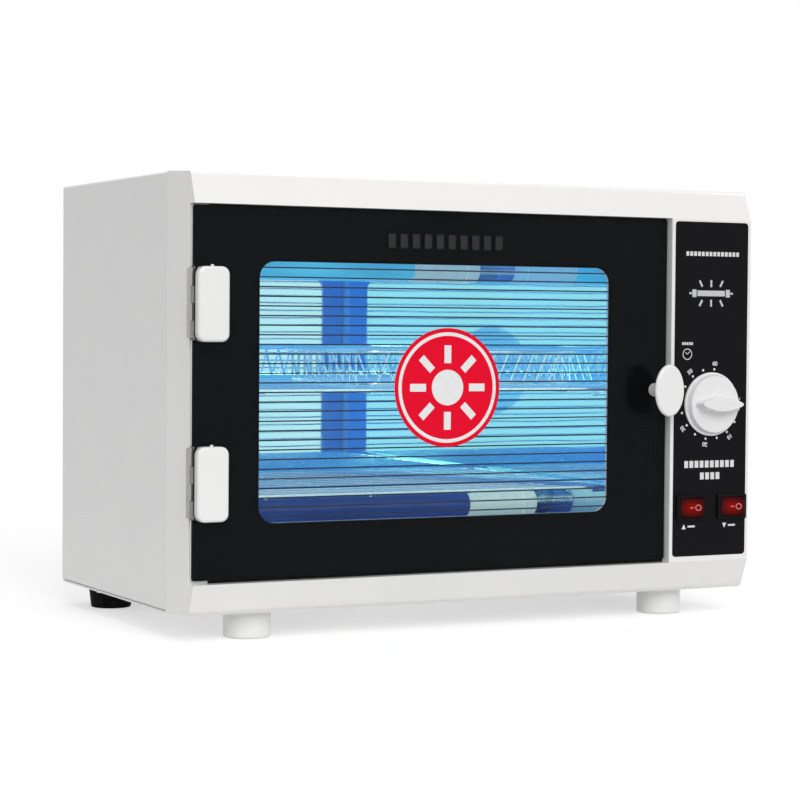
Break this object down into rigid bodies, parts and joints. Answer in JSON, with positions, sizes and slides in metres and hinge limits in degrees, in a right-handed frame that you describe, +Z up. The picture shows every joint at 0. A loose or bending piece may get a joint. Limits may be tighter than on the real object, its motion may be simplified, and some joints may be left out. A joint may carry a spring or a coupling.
{
  "type": "uv sterilizer cabinet",
  "caption": "White bench cabinet with a black-framed glass door, mirror-lined lamp chamber with wire racks and basket, and a dark side panel with timer dial and rocker switches.",
  "frame": {"origin": "centre of the base plate's underside, in the outer size of the front bezel; the feet reach 14 mm below it", "axes": "+X to the viewer's right, +Y towards the back, +Z up, seen from the door side"},
  "size_m": [0.3677, 0.2974, 0.26],
  "materials": {
    "case_paint": "white baked enamel, fine orange peel",
    "base_steel": "white baked enamel",
    "bezel_white": "glossy moulded white",
    "panel_black": "glossy charcoal",
    "mirror_steel": "mirror-finish stainless sheet",
    "seal_foam": "black foam",
    "black_plastic": "black moulded",
    "rubber_black": "matte black",
    "zinc": "bright zinc plate",
    "chrome_wire": "bright plated wire",
    "lamp_glass": "clear quartz",
    "lamp_cream": "cream ceramic",
    "white_plastic": "glossy white",
    "backing_white": "satin white",
    "door_glass": "clear float glass",
    "border_black": "black print under glass",
    "sticker_red": "printed film",
    "rocker_red": "dark red gloss",
    "knob_white": "satin white",
    "brass": "plain brass",
    "choke_iron": "varnished laminations",
    "starter_grey": "plain can",
    "wire_insulation": "pvc sleeve",
    "cord_black": "black pvc cord"
  },
  "bodies": {
    "cabinet": {"base_plate": "base_steel", "case_screws": "zinc", "case_shell": "case_paint", "chamber_liner": "mirror_steel", "control_plate": "panel_black", "cord_grommet": "black_plastic", "door_seal": "seal_foam", "foot_screws": "zinc", "front_bezel": "bezel_white", "front_foot_left": "white_plastic", "front_foot_right": "white_plastic", "hinge_case_screws": "zinc", "lamp_starters": "starter_grey", "lower_hinge_case_leaf": "zinc", "lower_hinge_pin": "zinc", "lower_lamp_ballast": "choke_iron", "lower_lamp_caps": "lamp_cream", "lower_lamp_holders": "zinc", "lower_lamp_tube": "lamp_glass", "lower_rack": "chrome_wire", "magnet_catch": "black_plastic", "plug_pins": "brass", "power_cord": "cord_black", "power_plug": "cord_black", "rear_foot_left": "rubber_black", "rear_foot_right": "rubber_black", "rear_panel": "case_paint", "shelf_hooks": "chrome_wire", "switch_housing_left": "black_plastic", "switch_housing_right": "black_plastic", "switch_terminals": "brass", "terminal_block": "white_plastic", "timer_body": "black_plastic", "timer_screws": "zinc", "upper_hinge_case_leaf": "zinc", "upper_hinge_pin": "zinc", "upper_lamp_ballast": "choke_iron", "upper_lamp_caps": "lamp_cream", "upper_lamp_holders": "zinc", "upper_lamp_tube": "lamp_glass", "wire_shelf": "chrome_wire", "wiring_harness": "wire_insulation"},
    "door": {"door_backing": "backing_white", "door_border": "border_black", "door_glass": "door_glass", "handle_plate": "white_plastic", "handle_screw": "zinc", "handle_stem": "lamp_cream", "hinge_door_screws": "zinc", "lower_hinge_cover": "white_plastic", "lower_hinge_door_leaf": "zinc", "strike_plate": "zinc", "upper_hinge_cover": "white_plastic", "upper_hinge_door_leaf": "zinc", "window_sticker": "sticker_red"},
    "timer": {"timer_knob": "knob_white", "timer_shaft": "zinc"},
    "rocker_left": {"switch_rocker_left": "rocker_red"},
    "rocker_right": {"switch_rocker_right": "rocker_red"},
    "basket": {"wire_basket": "chrome_wire"}
  },
  "joints": [
    {"name": "door_hinge", "type": "hinge", "parent": "cabinet", "child": "door", "pos_m": [-0.183, -0.1072, 0.12], "axis": [0, 0, -1], "range_deg": [0, 170]},
    {"name": "timer_turn", "type": "hinge", "parent": "cabinet", "child": "timer", "pos_m": [0.154, -0.112, 0.115], "axis": [0, 1, 0], "range_deg": [-14, 278]},
    {"name": "rocker_left", "type": "hinge", "parent": "cabinet", "child": "rocker_left", "pos_m": [0.1404, -0.111, 0.0525], "axis": [0, 0, 1], "range_deg": [0, 20]},
    {"name": "rocker_right", "type": "hinge", "parent": "cabinet", "child": "rocker_right", "pos_m": [0.17, -0.111, 0.0525], "axis": [0, 0, 1], "range_deg": [0, 20]},
    {"name": "basket_slide", "type": "slide", "parent": "cabinet", "child": "basket", "axis": [0, 1, 0], "range_m": [-0.042, 0.021]}
  ]
}
